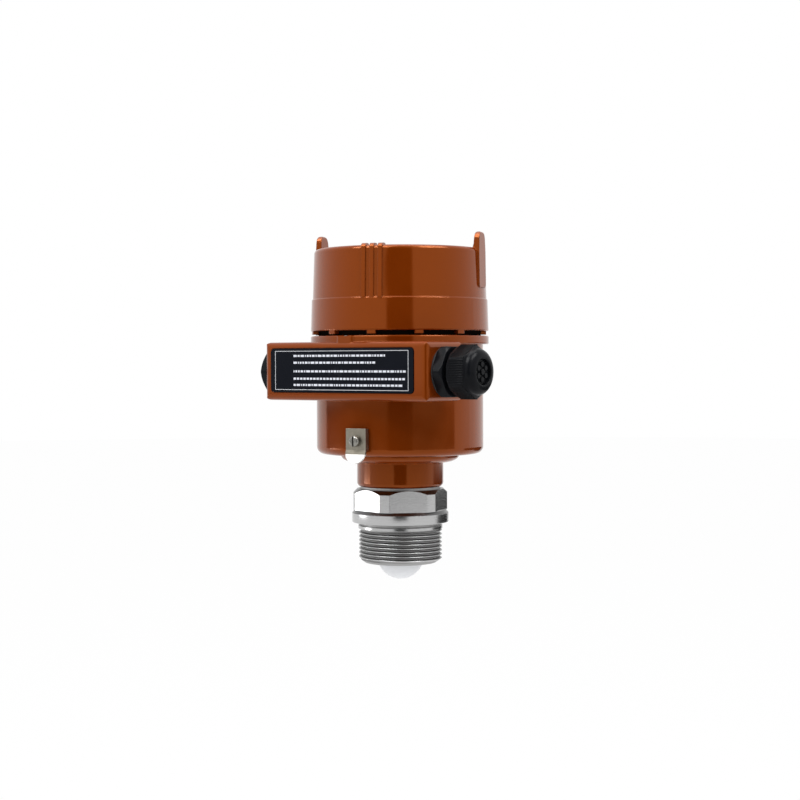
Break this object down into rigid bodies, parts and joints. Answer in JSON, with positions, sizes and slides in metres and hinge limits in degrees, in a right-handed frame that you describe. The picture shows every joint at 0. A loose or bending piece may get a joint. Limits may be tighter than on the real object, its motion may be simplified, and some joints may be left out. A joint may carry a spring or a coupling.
{
  "type": "radar level transmitter",
  "caption": "Radar level transmitter with a painted screw-cap housing, a cable beam with a gland and a plug, and a threaded steel process connection with a domed lens.",
  "frame": {"origin": "on the process thread's axis, in the flange's sealing face", "axes": "+Z along the axis, from the lens up to the cap; the cable beam lies along X on the -Y side, with the gland at +X; the label faces -Y"},
  "size_m": [0.1448, 0.1059, 0.198],
  "materials": {
    "housing_paint": "gloss orange-brown stoved paint on cast aluminium",
    "cap_paint": "gloss orange-brown stoved paint on cast aluminium",
    "stainless": "turned stainless steel with a fine lathe grain",
    "stainless_plain": "turned stainless steel",
    "lens": "smooth white fluoropolymer",
    "seal": "black moulded rubber",
    "nylon": "black moulded nylon with a soft gloss",
    "label": "black enamelled plate with a pale border line",
    "plated_steel": "scuffed plated sheet steel",
    "screw_steel": "plain machined steel",
    "cup_plastic": "dark grey moulded plastic",
    "board": "green solder resist",
    "component": "dark moulded components",
    "film": "amber film",
    "terminal_plastic": "green moulded plastic",
    "terminal_brass": "plain brass"
  },
  "bodies": {
    "root": {"process_connection": "stainless", "antenna_lens": "lens", "lens_seal": "seal", "horn": "stainless_plain", "horn_ring": "stainless_plain", "radar_board": "board", "radar_chip": "component", "connection_seal": "seal", "housing": "housing_paint", "label_plate": "label", "gland_washer": "seal", "gland_body": "nylon", "electronics_cup": "cup_plastic", "module_screws": "screw_steel", "main_board": "board", "board_parts": "component", "board_screws": "screw_steel", "flex_lead": "film", "terminal_block": "terminal_plastic", "terminal_screws": "terminal_brass", "inner_earth_screw": "screw_steel", "inner_earth_washer": "screw_steel"},
    "cap_ring": {"cap_seal": "seal"},
    "cap": {"cap": "cap_paint"},
    "lock_screw": {"cap_lock_screw": "screw_steel"},
    "plug_ring": {"blind_plug_washer": "seal"},
    "plug": {"blind_plug": "nylon"},
    "gland_insert": {"gland_seal": "seal"},
    "gland_nut": {"gland_nut": "nylon"},
    "gland_stopper": {"gland_plug": "nylon"},
    "clamp": {"earth_clamp": "plated_steel", "earth_spring_washer": "screw_steel"},
    "earth_screw": {"earth_screw": "screw_steel"}
  },
  "joints": [
    {"name": "cap_lift", "type": "slide", "parent": "root", "child": "cap_ring", "axis": [0, 0, 1], "range_m": [0, 0.009]},
    {"name": "cap_turn", "type": "hinge", "parent": "cap_ring", "child": "cap", "pos_m": [0, 0, 0.13], "axis": [0, 0, 1], "range_deg": [0, 1620]},
    {"name": "lock_screw_rise", "type": "slide", "parent": "root", "child": "lock_screw", "axis": [0, 0, 1], "range_m": [0, 0.0021]},
    {"name": "plug_out", "type": "slide", "parent": "root", "child": "plug_ring", "axis": [-1, 0, 0], "range_m": [0, 0.009]},
    {"name": "plug_turn", "type": "hinge", "parent": "plug_ring", "child": "plug", "pos_m": [-0.06, -0.036, 0.0864], "axis": [-1, 0, 0], "range_deg": [0, 2160]},
    {"name": "gland_out", "type": "slide", "parent": "root", "child": "gland_insert", "axis": [1, 0, 0], "range_m": [0, 0.006]},
    {"name": "gland_turn", "type": "hinge", "parent": "gland_insert", "child": "gland_nut", "pos_m": [0.073, -0.036, 0.0864], "axis": [1, 0, 0], "range_deg": [0, 1440]},
    {"name": "stopper_pull", "type": "slide", "parent": "gland_insert", "child": "gland_stopper", "axis": [1, 0, 0], "range_m": [0, 0.014]},
    {"name": "clamp_out", "type": "slide", "parent": "root", "child": "clamp", "axis": [0.1392, -0.9903, 0], "range_m": [0, 0.002]},
    {"name": "earth_turn", "type": "hinge", "parent": "clamp", "child": "earth_screw", "pos_m": [0.00735, -0.05229, 0.0486], "axis": [0.1392, -0.9903, 0], "range_deg": [0, 1440]}
  ],
  "couplings": [
    {"joint": "cap_lift", "follows": "cap_turn", "m_per_rad": 0.00031831},
    {"joint": "plug_turn", "follows": "plug_out", "rad_per_m": 4188.8},
    {"joint": "gland_turn", "follows": "gland_out", "rad_per_m": 4188.8},
    {"joint": "earth_turn", "follows": "clamp_out", "rad_per_m": 12566}
  ]
}
